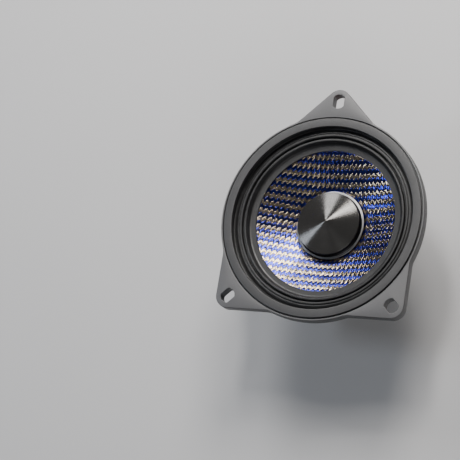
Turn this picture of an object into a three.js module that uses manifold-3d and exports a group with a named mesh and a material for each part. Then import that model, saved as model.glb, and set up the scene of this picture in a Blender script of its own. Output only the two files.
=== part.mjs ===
// Car speaker, 100 mm class, with three slotted ears and a shielded magnet.
// Millimetres, +Z up. The speaker lies face up on its magnet can: the origin is the centre
// of the can's flat bottom, +Z is the speaker's axis, and +Y points to the single top ear.

import * as THREE from 'three';
import { mergeVertices } from 'three/addons/utils/BufferGeometryUtils.js';
import Module from 'manifold-3d';

const wasm = await Module();
wasm.setup();

// ---------------------------------------------------------------- driving dimensions

const GAP = 0.3;                    // clearance kept between neighbouring solids
const ROUND = 48;                   // facets of a full turn on the outer pieces
const INNER_ROUND = 32;             // facets of a full turn on the pieces inside
const SMALL_ROUND = 12;             // facets of a full turn on screws and rivets

// front
const FACE_Z = 54;                  // front plane of the trim ring
const FLANGE_R = 54.2;
const FLANGE_TOP = FACE_Z - 0.6;
const FLANGE_BOTTOM = FACE_Z - 6;
const RECESS_R = 53.3;
const RECESS_FLOOR = FACE_Z - 3.1;
const TRIM_OUTER_R = 53;
const TRIM_INNER_R = 48.3;
const TRIM_THICK = 1.7;

// ears
const EAR_ANGLES = [90, 225, 315];
const SLOT_CENTRE_R = 61.9;
const SLOT_WIDTH = 6;               // between the two flats
const SLOT_LENGTH = 7.65;           // across the two round ends
const EAR_TIP_R = 6.4;

// basket wall
const LEDGE_Z = 30.9;               // seat of the spider
const FOOT_TOP = 26.8;
const FOOT_BOTTOM = 24.9;
const FOOT_INNER_R = 24;
const SKIRT_BOTTOM = 21.9;          // lower edge of the foot's outer lip
const WINDOW_LOW = 31.8;
const WINDOW_HIGH = 42.8;
const WINDOW_INNER_R = 37;
const WINDOWS = [[248, 292], [338, 363], [27, 67], [113, 155], [184, 204]];
const FOOT_NOTCHES = [[262, 297], [128, 146], [34, 52]];
const RIB_OFFSET = 12;              // degrees each side of an ear
const RIB_WIDTH = 6;

// motor
const CAN_R = 33;
const CAN_TOP = 21.6;
const CAN_WALL = 1.2;
const CAN_CORNER_R = 12.5;
const YOKE_BOTTOM = 1.6;
const YOKE_TOP = 7;
const POLE_R = 11.9;
const POLE_TOP = 25;
const MAGNET_BOTTOM = 7.3;
const MAGNET_TOP = 19.3;
const MAGNET_R = 30;
const MAGNET_BORE_R = 15.6;
const PLATE_BOTTOM = 19.6;
const PLATE_TOP = 24.6;
const PLATE_R = 31.5;
const PLATE_BORE_R = 14.2;
const SCREW_CIRCLE_R = 27.8;
const SCREW_ANGLES = [0, 90, 180, 270];
const SCREW_R = 1.4;
const SCREW_HOLE_R = 1.8;
const SCREW_HEAD_R = 2.7;
const SCREW_HEAD_HIGH = 1.6;

// moving system
const FORMER_R = 12.4;
const FORMER_WALL = 0.3;
const FORMER_BOTTOM = 13;
const FORMER_TOP = 38.4;
const WINDING_R = 13;
const WINDING_WALL = 0.5;
const WINDING_BOTTOM = 17.6;
const WINDING_TOP = 25.9;
const CONE_NECK_R = 13.3;
const CONE_NECK_Z = 35.4;
const CONE_MOUTH_R = 37.2;
const CONE_MOUTH_Z = 46.7;
const CONE_LIP_R = 39.8;
const CONE_THICK = 0.8;
const CAP_R = 16.5;
const CAP_EDGE_Z = 42.5;
const CAP_APEX_Z = 46.5;
const COLLAR_FOOT_R = 18.1;
const SPIDER_R = 36.4;
const SPIDER_FLAT_R = 32;
const SPIDER_NECK_R = 13.1;
const SPIDER_Z = 31.5;
const SPIDER_WAVE = 1;
const SPIDER_ROLLS = 4;
const SKIN = 0.6;                   // thickness of the spider and the surround

// terminals
const TERMINAL_ANGLE = 170;
const TERMINAL_SPREAD = 3.6;        // each pole's distance from the middle of the block
const PAD_FACE_R = 40.2;
const PAD_INNER_R = 37.6;
const PAD_WIDTH = 16;
const POCKET_WIDTH = 14;
const POCKET_TOP = 39.7;
const BLOCK_WIDTH = 13;
const BLOCK_THICK = 2;
const BLOCK_BOTTOM = 30.8;
const BLOCK_TOP = 39.3;
const TAB_WIDTH = 4.6;
const TAB_THICK = 0.7;
const TAB_TOP = 38;
const TAB_BEND_Z = 30.6;            // below this height a tab slants in towards its sleeve
const RIVET_Z = 35.4;
const RIVET_R = 0.8;
const RIVET_HEAD_R = 1.7;
const RIVET_HEAD_THICK = 0.8;
const SLEEVE_MIDDLE_R = 40.75;
const SLEEVE_TOP = 27;
const SLEEVE_BOTTOM = 18;
const SLEEVE_WIDTH = 4.4;
const SLEEVE_THICK = 3;
const LEAD_R = 1.3;
const TINSEL_R = 0.6;
const TINSEL_START_R = 36.3;
const TINSEL_END_R = 17.8;
const TINSEL_END_Z = 35.1;
const TINSEL_CROWN = 1.9;           // rise of a flexible lead above its rivet
const TINSEL_CLOSING = 0.8;         // share of the poles' spread kept at the cone

// plug
const PLUG_LENGTH = 15;
const PLUG_WIDTH = 9;
const PLUG_HEIGHT = 7;
const PLUG_CENTRE = [-16.4, 47.2];
const PLUG_TURN = 190;              // direction the plug's open end faces, degrees from +X
const PLUG_PITCH = 3.9;             // distance between its two contacts
const CONTACT_WIDTH = 1.8;
const CAVITY_WIDTH = 3;
const CAVITY_DEPTH = 7;
const CAVITY_BOTTOM = 2;
const LATCH_WIDTH = 3.2;
const LATCH_HIGH = 1;

// Routes of the two leads, from the sleeve's lower end to the back of the plug.
const LEAD_PLUS_ROUTE = [
  [-40.8, 3.5, 17.7], [-40.3, 3.9, 14.4], [-37.5, 6.4, 9.6], [-33, 10.1, 4.8], [-28.8, 13.5, 2],
  [-25.4, 16.6, 1.4], [-21.8, 21.1, 1.4], [-17.3, 25.6, 1.4], [-12, 29.2, 1.4],
  [-5.5, 31.2, 1.4], [2, 31.5, 1.4], [9.5, 31.2, 1.4], [15.8, 33.6, 1.4], [19.4, 39, 1.4],
  [19, 45, 1.4], [15, 49.3, 1.4], [9, 51, 1.4], [3, 51.2, 1.8], [-3.5, 50.9, 2.9],
  [-8.7, 50.3, 3.5],
];
const LEAD_MINUS_ROUTE = [
  [-39.5, 10.6, 17.7], [-39.2, 11, 14.4], [-37.1, 13.2, 9.6], [-34, 16.2, 4.8], [-31, 18.9, 2],
  [-28.2, 21.5, 1.4], [-25, 25.3, 1.4], [-20.8, 29.2, 1.4], [-15.5, 32.6, 1.4], [-9, 34.5, 1.4],
  [-2, 35.1, 1.4], [5, 35, 1.4], [10.6, 35.6, 1.4], [14.8, 38.6, 1.4], [15.2, 43, 1.4],
  [12, 46.4, 1.4], [6.6, 47.6, 1.4], [1.4, 47.7, 1.8], [-3.4, 47.4, 2.9], [-8.1, 46.8, 3.5],
];

// ---------------------------------------------------------------- materials

const paint = (color, roughness, metalness) =>
  new THREE.MeshStandardMaterial({ color, roughness, metalness });

const BLACK_PLASTIC = () => paint(0x1c1c1e, 0.55, 0);
const GREY_RUBBER = () => paint(0x3a3a3c, 0.7, 0);
const POLISHED_STEEL = () => paint(0x9a9a9e, 0.22, 1);
const DARK_STEEL = () => paint(0x6b6c70, 0.4, 1);
const FERRITE = () => paint(0x2b2b2d, 0.8, 0);
const FIBRE_CONE = () => paint(0x4a5fc0, 0.35, 0);
const TURNED_METAL = () => paint(0x77787c, 0.3, 1);
const AMBER_CLOTH = () => paint(0xb8741f, 0.85, 0);
const FORMER_FILM = () => paint(0xb07a35, 0.5, 0);
const COPPER = () => paint(0xb8683a, 0.35, 1);
const BRASS = () => paint(0xc9a55a, 0.3, 1);
const RED_INSULATION = () => paint(0xc8141a, 0.45, 0);
const DARK_INSULATION = () => paint(0x2a2a2c, 0.6, 0);

// ---------------------------------------------------------------- geometry helpers

const radians = THREE.MathUtils.degToRad;

// Point at radius r and angle a, in degrees.
const polar = (r, a) => [r * Math.cos(radians(a)), r * Math.sin(radians(a))];

function signedVolume(geometry) {
  const p = geometry.getAttribute('position');
  const index = geometry.getIndex();
  const corner = (i) => new THREE.Vector3().fromBufferAttribute(p, index.getX(i));
  let volume = 0;
  for (let i = 0; i < index.count; i += 3) {
    volume += corner(i).dot(corner(i + 1).cross(corner(i + 2))) / 6;
  }
  return volume;
}

// Merged copy of a geometry with no sliver faces and with its faces pointing out.
function closed(source) {
  const bare = source.clone();
  bare.deleteAttribute('normal');
  bare.deleteAttribute('uv');
  const merged = mergeVertices(bare, 1e-4);
  const index = merged.getIndex();
  const kept = [];
  for (let i = 0; i < index.count; i += 3) {
    const [a, b, c] = [index.getX(i), index.getX(i + 1), index.getX(i + 2)];
    if (a !== b && b !== c && c !== a) kept.push(a, b, c);
  }
  merged.setIndex(kept);
  if (signedVolume(merged) < 0) merged.setIndex(kept.reverse());
  return merged;
}

function toManifold(geometry) {
  const source = closed(geometry);
  return new wasm.Manifold(new wasm.Mesh({
    numProp: 3,
    vertProperties: new Float32Array(source.getAttribute('position').array),
    triVerts: new Uint32Array(source.getIndex().array),
  }));
}

function toGeometry(manifold) {
  const result = manifold.getMesh();
  const geometry = new THREE.BufferGeometry();
  geometry.setAttribute('position', new THREE.BufferAttribute(result.vertProperties, 3));
  geometry.setIndex(new THREE.BufferAttribute(result.triVerts, 1));
  return geometry;
}

const joined = (...pieces) => toGeometry(pieces.map(toManifold).reduce((a, b) => a.add(b)));

function cut(body, ...tools) {
  return toGeometry(tools.map(toManifold).reduce((a, b) => a.subtract(b), toManifold(body)));
}

// Solid of revolution about Z from an outline of [radius, z] points. An outline that
// does not both start and end on the axis closes on itself.
function revolve(outline, segments = ROUND) {
  const first = outline[0];
  const onAxis = first[0] === 0 && outline[outline.length - 1][0] === 0;
  const points = (onAxis ? outline : [...outline, first]).map(([r, z]) => new THREE.Vector2(r, z));
  return closed(new THREE.LatheGeometry(points, segments).rotateX(Math.PI / 2));
}

const ring = (inner, outer, low, high, segments = ROUND) =>
  revolve([[inner, low], [outer, low], [outer, high], [inner, high]], segments);

const disc = (radius, low, high, segments = ROUND) =>
  revolve([[0, low], [radius, low], [radius, high], [0, high]], segments);

// Upright prism of an [x, y] outline between two heights.
function prism(outline, low, high) {
  const shape = outline instanceof THREE.Shape
    ? outline
    : new THREE.Shape(outline.map(([x, y]) => new THREE.Vector2(x, y)));
  const settings = { depth: high - low, bevelEnabled: false, curveSegments: 8 };
  return closed(new THREE.ExtrudeGeometry(shape, settings).translate(0, 0, low));
}

// Slice of a ring between two angles, in degrees.
function wedge(inner, outer, from, to, low, high) {
  const steps = Math.ceil((to - from) / 6);
  const angles = Array.from({ length: steps + 1 }, (_, i) => from + ((to - from) * i) / steps);
  const outside = angles.map((a) => polar(outer, a));
  const inside = angles.map((a) => polar(inner, a)).reverse();
  return prism([...outside, ...inside], low, high);
}

// Slab that stands in the radial plane at angle a: a [radius, z] outline given a width and
// a sideways offset.
function radialSlab(outline, width, a, offset = 0) {
  const shape = new THREE.Shape(outline.map(([r, z]) => new THREE.Vector2(r, z)));
  const settings = { depth: width, bevelEnabled: false };
  const slab = new THREE.ExtrudeGeometry(shape, settings)
    .translate(0, 0, offset - width / 2)
    .rotateX(Math.PI / 2)
    .rotateZ(radians(a));
  return closed(slab);
}

// Round bar along the radial direction at angle a, at height z.
function radialBar(radius, from, to, a, z, offset = 0) {
  const bar = new THREE.CylinderGeometry(radius, radius, to - from, SMALL_ROUND)
    .rotateZ(-Math.PI / 2)
    .translate((from + to) / 2, -offset, z)
    .rotateZ(radians(a));
  return closed(bar);
}

// Round bar or tube that follows a list of points.
function cordAlong(route, radius, sides, steps) {
  const path = new THREE.CatmullRomCurve3(route.map((p) => new THREE.Vector3(...p)));
  const corners = Array.from({ length: sides }, (_, i) => polar(radius, (360 * i) / sides));
  const shape = new THREE.Shape(corners.map(([x, y]) => new THREE.Vector2(x, y)));
  return closed(new THREE.ExtrudeGeometry(shape, { steps, extrudePath: path, bevelEnabled: false }));
}

// Skin of even thickness under a line of [radius, z] points that runs outwards.
const skinUnder = (line, thickness, segments = ROUND) =>
  revolve([...line, ...line.map(([r, z]) => [r, z - thickness]).reverse()], segments);

const model = new THREE.Group();

function add(name, geometry, material) {
  const mesh = new THREE.Mesh(geometry, material);
  mesh.name = name;
  model.add(mesh);
}

// ---------------------------------------------------------------- basket

// Section through the basket: flange recess, bowl, spider ledge, foot ring and lip.
const BASKET_SECTION = [
  [FLANGE_R, FLANGE_TOP], [RECESS_R, FLANGE_TOP], [RECESS_R, RECESS_FLOOR],
  [49.2, RECESS_FLOOR], [49.2, 46.5], [47.6, 44], [43.6, 40.4], [39.3, 36.9],
  [37.8, LEDGE_Z], [33, LEDGE_Z], [33, 28.9], [35.8, 28.9], [33.6, FOOT_TOP],
  [FOOT_INNER_R, FOOT_TOP], [FOOT_INNER_R, FOOT_BOTTOM], [31.8, FOOT_BOTTOM],
  [31.8, SKIRT_BOTTOM], [34.2, SKIRT_BOTTOM], [36.2, 24.6], [40.2, 31], [41.9, 36],
  [45.5, 39.1], [49.9, 43.2], [51.4, FLANGE_BOTTOM], [FLANGE_R, FLANGE_BOTTOM],
];

// Ribs on each side of an ear: they follow the bowl and end in a tab over the can's rim.
const RIB_SECTION = [
  [51.6, 48.2], [51, 43], [46.6, 38.5], [43.1, 35.5], [41.4, 30.5], [37.4, 24.2],
  [35.6, 21.5], [35.2, 18.6], [33.5, 18.6], [33.5, 22.4], [34.6, 24.6], [38.6, 31],
  [40.6, 36.2], [44.2, 39.8], [48.6, 43.8], [50, 48.2],
];

// Flat pad for the terminal block on its leg.
const PAD_SECTION = [
  [PAD_INNER_R, 30.4], [PAD_FACE_R, 28.4], [PAD_FACE_R, POCKET_TOP], [45.6, POCKET_TOP],
  [45.6, 41.2], [PAD_INNER_R, 40.2],
];

// Outline of an ear that points along +X: a right-angled corner with a round tip.
function earOutline() {
  const side = EAR_TIP_R * Math.SQRT1_2;
  const back = 40;
  const spread = side + (SLOT_CENTRE_R + side - back);
  const shape = new THREE.Shape();
  shape.moveTo(back, -spread);
  shape.lineTo(SLOT_CENTRE_R + side, -side);
  shape.absarc(SLOT_CENTRE_R, 0, EAR_TIP_R, radians(-45), radians(45), false);
  shape.lineTo(back, spread);
  return shape;
}

// Round hole with two flats along the radius.
function slotOutline() {
  const half = Math.asin(SLOT_WIDTH / SLOT_LENGTH);
  const shape = new THREE.Shape();
  shape.absarc(SLOT_CENTRE_R, 0, SLOT_LENGTH / 2, -half, half, false);
  shape.absarc(SLOT_CENTRE_R, 0, SLOT_LENGTH / 2, Math.PI - half, Math.PI + half, false);
  return shape;
}

function screwHoles(low, high) {
  return SCREW_ANGLES.map((a) => {
    const [x, y] = polar(SCREW_CIRCLE_R, a);
    return disc(SCREW_HOLE_R, low, high, SMALL_ROUND).translate(x, y, 0);
  });
}

function basket() {
  const ears = EAR_ANGLES.map((a) =>
    prism(earOutline(), FLANGE_BOTTOM, FLANGE_TOP).rotateZ(radians(a)));
  const earPlates = cut(joined(...ears), disc(RECESS_R, FLANGE_BOTTOM - 1, FLANGE_TOP + 1));
  const ribs = EAR_ANGLES.flatMap((a) => [-RIB_OFFSET, RIB_OFFSET].map((side) =>
    radialSlab(RIB_SECTION, RIB_WIDTH, a + side)));
  const pad = radialSlab(PAD_SECTION, PAD_WIDTH, TERMINAL_ANGLE);
  const body = joined(revolve(BASKET_SECTION), earPlates, ...ribs, pad);

  const slots = EAR_ANGLES.map((a) =>
    prism(slotOutline(), FLANGE_BOTTOM - 1, FLANGE_TOP + 1).rotateZ(radians(a)));
  const windows = WINDOWS.map(([from, to]) =>
    wedge(WINDOW_INNER_R, 60, from, to, WINDOW_LOW, WINDOW_HIGH));
  const notches = FOOT_NOTCHES.map(([from, to]) =>
    wedge(31, 40, from, to, SKIRT_BOTTOM - 1, FOOT_BOTTOM));
  const pocketSection = [[PAD_FACE_R, 20], [60, 20], [60, POCKET_TOP], [PAD_FACE_R, POCKET_TOP]];
  const pocket = radialSlab(pocketSection, POCKET_WIDTH, TERMINAL_ANGLE);
  const rivetHoles = [-TERMINAL_SPREAD, TERMINAL_SPREAD].map((offset) =>
    radialBar(RIVET_R + GAP, PAD_INNER_R - 2, PAD_FACE_R + 2, TERMINAL_ANGLE, RIVET_Z, offset));
  const screws = screwHoles(FOOT_BOTTOM - 1, FOOT_TOP + 1);
  return cut(body, ...slots, ...windows, ...notches, pocket, ...rivetHoles, ...screws);
}

add('basket', basket(), BLACK_PLASTIC());

add('front_trim_ring', revolve([
  [TRIM_INNER_R, FACE_Z - TRIM_THICK], [TRIM_OUTER_R, FACE_Z - TRIM_THICK],
  [TRIM_OUTER_R, FACE_Z - 0.3], [TRIM_OUTER_R - 0.3, FACE_Z],
  [TRIM_INNER_R + 0.3, FACE_Z], [TRIM_INNER_R, FACE_Z - 0.3],
]), GREY_RUBBER());

// ---------------------------------------------------------------- motor

// Quarter-round corner of the can, from its flat bottom to its side.
function canCorner(radius) {
  const centre = CAN_R - CAN_CORNER_R;
  return [-90, -72, -54, -36, -18, 0].map((angle) => {
    const [r, z] = polar(radius, angle);
    return [centre + r, CAN_CORNER_R + z];
  });
}

add('magnet_can', revolve([
  [0, 0], ...canCorner(CAN_CORNER_R), [CAN_R, CAN_TOP], [CAN_R - CAN_WALL, CAN_TOP],
  ...canCorner(CAN_CORNER_R - CAN_WALL).reverse(), [0, CAN_WALL],
]), POLISHED_STEEL());

add('t_yoke', revolve([
  [0, YOKE_BOTTOM], [20.5, YOKE_BOTTOM], [28.4, YOKE_TOP - 1.2], [28.4, YOKE_TOP],
  [POLE_R, YOKE_TOP], [POLE_R, POLE_TOP - 0.5], [POLE_R - 0.5, POLE_TOP], [0, POLE_TOP],
], INNER_ROUND), DARK_STEEL());

add('ring_magnet', ring(MAGNET_BORE_R, MAGNET_R, MAGNET_BOTTOM, MAGNET_TOP, INNER_ROUND),
  FERRITE());

add('top_plate', cut(
  ring(PLATE_BORE_R, PLATE_R, PLATE_BOTTOM, PLATE_TOP),
  ...screwHoles(PLATE_BOTTOM - 1, PLATE_TOP + 1),
), POLISHED_STEEL());

SCREW_ANGLES.forEach((a, i) => {
  const [x, y] = polar(SCREW_CIRCLE_R, a);
  const seat = FOOT_TOP + GAP;
  const top = seat + SCREW_HEAD_HIGH;
  const screw = revolve([
    [0, PLATE_BOTTOM + GAP], [SCREW_R, PLATE_BOTTOM + GAP], [SCREW_R, seat], [SCREW_HEAD_R, seat],
    [SCREW_HEAD_R, top - 0.7], [SCREW_HEAD_R - 0.8, top], [0, top],
  ], SMALL_ROUND).translate(x, y, 0);
  add(`screw_${i + 1}`, screw, DARK_STEEL());
});

// ---------------------------------------------------------------- moving system

add('voice_coil_former',
  ring(FORMER_R, FORMER_R + FORMER_WALL, FORMER_BOTTOM, FORMER_TOP, INNER_ROUND), FORMER_FILM());

add('voice_coil_winding',
  ring(WINDING_R, WINDING_R + WINDING_WALL, WINDING_BOTTOM, WINDING_TOP, INNER_ROUND), COPPER());

add('cone', skinUnder([
  [CONE_NECK_R, CONE_NECK_Z], [CONE_MOUTH_R, CONE_MOUTH_Z], [CONE_LIP_R, CONE_MOUTH_Z],
], CONE_THICK), FIBRE_CONE());

add('cap_collar', revolve([
  [15, 38.2], [COLLAR_FOOT_R, 38.2], [COLLAR_FOOT_R, 38.8], [17.3, 39], [16.4, 39.8],
  [16, 41.2], [15, 41.2],
], INNER_ROUND), BLACK_PLASTIC());

add('dust_cap', revolve([
  [0, CAP_APEX_Z], [CAP_R - 0.3, CAP_EDGE_Z + 0.1], [CAP_R, CAP_EDGE_Z - 0.2],
  [CAP_R, CAP_EDGE_Z - 1], [15.2, CAP_EDGE_Z - 1], [0, CAP_APEX_Z - 1.3],
], INNER_ROUND), TURNED_METAL());

// Ribbed rubber edge, from the band on the cone: a narrow ridge, a gap, a wide ridge with a
// sloping shoulder, the outer groove, and the flat rim under the trim ring.
add('surround', skinUnder([
  [37.3, 47.6], [40.4, 47.7], [41.7, 50.4], [42.6, 50.4], [43.3, 49.1], [44.1, 50.9],
  [45, 50.9], [45.3, 50.4], [45.8, 50.7], [47, 49.5], [48.2, 49.2], [49.2, 51.8], [53.1, 51.8],
], SKIN), GREY_RUBBER());

// Corrugated centring disc: rolls from the neck out to the flat glued edge.
function spiderLine() {
  const halfRoll = (SPIDER_FLAT_R - SPIDER_NECK_R) / (SPIDER_ROLLS * 2);
  const points = [[SPIDER_NECK_R, SPIDER_Z]];
  for (let i = 0; i < SPIDER_ROLLS * 2; i += 1) {
    const height = i % 2 ? -SPIDER_WAVE : SPIDER_WAVE;
    points.push([SPIDER_NECK_R + halfRoll * (i + 0.5), SPIDER_Z + height]);
  }
  return [...points, [SPIDER_FLAT_R + 0.6, SPIDER_Z + 0.3], [SPIDER_R, SPIDER_Z + 0.3]];
}

add('spider', skinUnder(spiderLine(), SKIN, INNER_ROUND), AMBER_CLOTH());

// ---------------------------------------------------------------- terminals and leads

const blockBack = PAD_FACE_R + GAP;
const blockFront = blockBack + BLOCK_THICK;
const tabBack = blockFront + GAP;
const tabFront = tabBack + TAB_THICK;

const box = (inner, outer, low, high) => [[inner, low], [outer, low], [outer, high], [inner, high]];

const poleHoles = (from, to) => [-TERMINAL_SPREAD, TERMINAL_SPREAD].map((offset) =>
  radialBar(RIVET_R + GAP, from, to, TERMINAL_ANGLE, RIVET_Z, offset));

add('terminal_block', cut(
  radialSlab(box(blockBack, blockFront, BLOCK_BOTTOM, BLOCK_TOP), BLOCK_WIDTH, TERMINAL_ANGLE),
  ...poleHoles(blockBack - 1, blockFront + 1),
), BLACK_PLASTIC());

// Flexible lead from a rivet's inner end, over a low arch, to the cone's neck.
function tinselRoute(offset) {
  const crown = RIVET_Z + TINSEL_CROWN;
  const stops = [
    [TINSEL_START_R, RIVET_Z, 1], [34, RIVET_Z + 0.8, 1], [30, crown, 1], [26, crown, 0.9],
    [21.4, RIVET_Z + 0.6, TINSEL_CLOSING], [TINSEL_END_R, TINSEL_END_Z, TINSEL_CLOSING],
  ];
  const [acrossX, acrossY] = polar(offset, TERMINAL_ANGLE - 90);
  return stops.map(([r, z, share]) => {
    const [x, y] = polar(r, TERMINAL_ANGLE);
    return [x + acrossX * share, y + acrossY * share, z];
  });
}

// Everything that belongs to one pole of the terminal block.
function addPole(sign, offset, insulation) {
  const tabEnd = SLEEVE_TOP + GAP;
  const tabSection = [
    [SLEEVE_MIDDLE_R - TAB_THICK / 2, tabEnd], [SLEEVE_MIDDLE_R + TAB_THICK / 2, tabEnd],
    [tabFront, TAB_BEND_Z], [tabFront, TAB_TOP], [tabBack, TAB_TOP], [tabBack, TAB_BEND_Z],
  ];
  const tab = radialSlab(tabSection, TAB_WIDTH, TERMINAL_ANGLE, offset);
  add(`terminal_tab_${sign}`, cut(tab, ...poleHoles(tabBack - 1, tabFront + 1)), DARK_STEEL());

  const front = tabFront + GAP;
  const bar = (radius, from, to) => radialBar(radius, from, to, TERMINAL_ANGLE, RIVET_Z, offset);
  const shank = bar(RIVET_R, PAD_INNER_R - 1, front + RIVET_HEAD_THICK / 2);
  const head = bar(RIVET_HEAD_R, front, front + RIVET_HEAD_THICK);
  add(`terminal_rivet_${sign}`, joined(shank, head), POLISHED_STEEL());

  const half = SLEEVE_THICK / 2;
  const sleeveSection = box(SLEEVE_MIDDLE_R - half, SLEEVE_MIDDLE_R + half, SLEEVE_BOTTOM, SLEEVE_TOP);
  const sleeve = radialSlab(sleeveSection, SLEEVE_WIDTH, TERMINAL_ANGLE, offset);
  add(`sleeve_${sign}`, sleeve, insulation());

  add(`tinsel_lead_${sign}`, cordAlong(tinselRoute(offset), TINSEL_R, 8, 12), COPPER());
}

addPole('plus', -TERMINAL_SPREAD, RED_INSULATION);
addPole('minus', TERMINAL_SPREAD, DARK_INSULATION);

add('lead_plus', cordAlong(LEAD_PLUS_ROUTE, LEAD_R, 8, 28), RED_INSULATION());
add('lead_minus', cordAlong(LEAD_MINUS_ROUTE, LEAD_R, 8, 26), DARK_INSULATION());

// ---------------------------------------------------------------- plug

// Box given by its lowest and highest corners, in the plug's own frame (+X is its open end).
function block(low, high) {
  const size = high.map((value, i) => value - low[i]);
  const middle = high.map((value, i) => (value + low[i]) / 2);
  return closed(new THREE.BoxGeometry(...size).translate(...middle));
}

const placePlug = (geometry) =>
  geometry.rotateZ(radians(PLUG_TURN)).translate(PLUG_CENTRE[0], PLUG_CENTRE[1], 0);

const front = PLUG_LENGTH / 2;
const poles = { plus: -PLUG_PITCH / 2, minus: PLUG_PITCH / 2 };
const cavities = Object.values(poles).map((y) => block(
  [front - CAVITY_DEPTH, y - CAVITY_WIDTH / 2, CAVITY_BOTTOM],
  [front + 1, y + CAVITY_WIDTH / 2, CAVITY_BOTTOM + CAVITY_WIDTH],
));
const shell = block([-front, -PLUG_WIDTH / 2, 0], [front, PLUG_WIDTH / 2, PLUG_HEIGHT - LATCH_HIGH]);
const latch = block(
  [3 - front, -LATCH_WIDTH / 2, PLUG_HEIGHT - LATCH_HIGH - 0.5],
  [front - 2, LATCH_WIDTH / 2, PLUG_HEIGHT],
);
add('plug_housing', placePlug(cut(joined(shell, latch), ...cavities)), BLACK_PLASTIC());

const contactBottom = CAVITY_BOTTOM + (CAVITY_WIDTH - CONTACT_WIDTH) / 2;
for (const [sign, y] of Object.entries(poles)) {
  const contact = block(
    [front - CAVITY_DEPTH + GAP, y - CONTACT_WIDTH / 2, contactBottom],
    [front - 0.6, y + CONTACT_WIDTH / 2, contactBottom + CONTACT_WIDTH],
  );
  add(`plug_contact_${sign}`, placePlug(contact), BRASS());
}

export default model;
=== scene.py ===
import math

import bmesh
import bpy
import numpy as np
from mathutils import Matrix, Vector


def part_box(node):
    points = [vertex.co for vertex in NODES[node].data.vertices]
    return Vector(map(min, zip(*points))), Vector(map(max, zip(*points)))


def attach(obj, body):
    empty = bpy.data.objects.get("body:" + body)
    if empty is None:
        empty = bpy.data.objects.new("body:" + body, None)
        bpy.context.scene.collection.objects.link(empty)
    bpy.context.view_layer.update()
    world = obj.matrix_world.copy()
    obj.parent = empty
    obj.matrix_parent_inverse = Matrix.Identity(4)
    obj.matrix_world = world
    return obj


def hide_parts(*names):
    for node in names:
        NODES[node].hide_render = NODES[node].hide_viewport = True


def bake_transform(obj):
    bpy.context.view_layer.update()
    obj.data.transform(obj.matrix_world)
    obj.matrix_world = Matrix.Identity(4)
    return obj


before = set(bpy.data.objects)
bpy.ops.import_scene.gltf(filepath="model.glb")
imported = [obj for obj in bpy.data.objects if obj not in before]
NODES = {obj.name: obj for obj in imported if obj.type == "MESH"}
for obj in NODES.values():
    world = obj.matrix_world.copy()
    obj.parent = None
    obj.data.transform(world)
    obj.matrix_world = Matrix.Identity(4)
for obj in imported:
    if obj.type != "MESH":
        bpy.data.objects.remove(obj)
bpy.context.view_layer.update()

# The frame is in metres. Sizes below are in millimetres and turn into metres through MM.
MM = 0.001

STATIC = "frame"
MOVING = "cone_assembly"

# ---- driving dimensions (mm)

GAP = 0.3  # clearance that the CAD keeps between neighbouring pieces

FACE_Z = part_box("front_trim_ring")[1].z / MM  # front plane of the trim ring
FLANGE_R = 54.2
FLANGE_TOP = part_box("basket")[1].z / MM
FLANGE_BOTTOM = FACE_Z - 6
RECESS_R = 53.3
RECESS_FLOOR = FACE_Z - 3.1
TRIM_OUTER_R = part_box("front_trim_ring")[1].x / MM
TRIM_INNER_R = 48.3
TRIM_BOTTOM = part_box("front_trim_ring")[0].z / MM
TRIM_STEP = 1.3  # depth of the step around the trim ring's outer edge
TRIM_REBATE = 0.4  # width of that step

EAR_ANGLES = (90, 225, 315)
SLOT_CENTRE_R = 61.9
SLOT_WIDTH = 6.0
SLOT_LENGTH = 7.65
EAR_TIP_R = 6.4
EAR_BLEND = 0.7  # softness of the corner between an ear and the flange

LEDGE_Z = 30.9  # seat of the spider
FOOT_TOP = 26.8
FOOT_BOTTOM = 24.9
FOOT_INNER_R = 24
SKIRT_BOTTOM = 21.9  # lower edge of the foot's outer lip
WALL_R = 44  # radius at which the size of an opening is measured
WINDOW_LOW = 31.8
WINDOW_HIGH = 42.8
WINDOW_CORNER_R = 2.4
WINDOW_REACH = (37, 60)  # radii between which the windows' cutters stand
WINDOWS = ((248, 292), (338, 363), (27, 67), (113, 155), (184, 204))
NOTCH_CORNER_R = 2.2
NOTCH_REACH = (31, 40)
FOOT_NOTCHES = ((262, 297), (128, 146), (34, 52))
CORNER_STEPS = 8  # steps around the corner of an opening
RIB_OFFSET = 12  # degrees each side of an ear
RIB_WIDTH = 6.0

CAN_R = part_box("magnet_can")[1].x / MM
CAN_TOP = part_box("magnet_can")[1].z / MM
CAN_WALL = 1.2
CAN_CORNER_R = 12.5
PLATE_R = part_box("top_plate")[1].x / MM
PLATE_BORE_R = 14.2
PLATE_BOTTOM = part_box("top_plate")[0].z / MM
PLATE_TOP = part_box("top_plate")[1].z / MM

CONE_NECK_R = 13.3
CONE_NECK_Z = 35.4
CONE_MOUTH_R = 37.2
CONE_MOUTH_Z = 46.7
CONE_LIP_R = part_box("cone")[1].x / MM
CONE_THICK = 0.6
CAP_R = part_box("dust_cap")[1].x / MM
CAP_INNER_R = 15.2
CAP_EDGE_Z = 42.5
CAP_APEX_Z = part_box("dust_cap")[1].z / MM
COLLAR_BORE_R = 15
COLLAR_FOOT_R = 18.1
COLLAR_BOTTOM = 38.2
COLLAR_FOOT_TOP = 39.0
COLLAR_TOP = 41.2
SPIDER_NECK_R = 13.1
SPIDER_FLAT_R = 32.0
SPIDER_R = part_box("spider")[1].x / MM
SPIDER_Z = 31.5
SPIDER_RIM_Z = SPIDER_Z + 0.3
SPIDER_WAVE = 0.95  # height of a roll, from the middle
SPIDER_ROLLS = 4
SKIN = 0.6  # thickness of the spider and the surround

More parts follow.
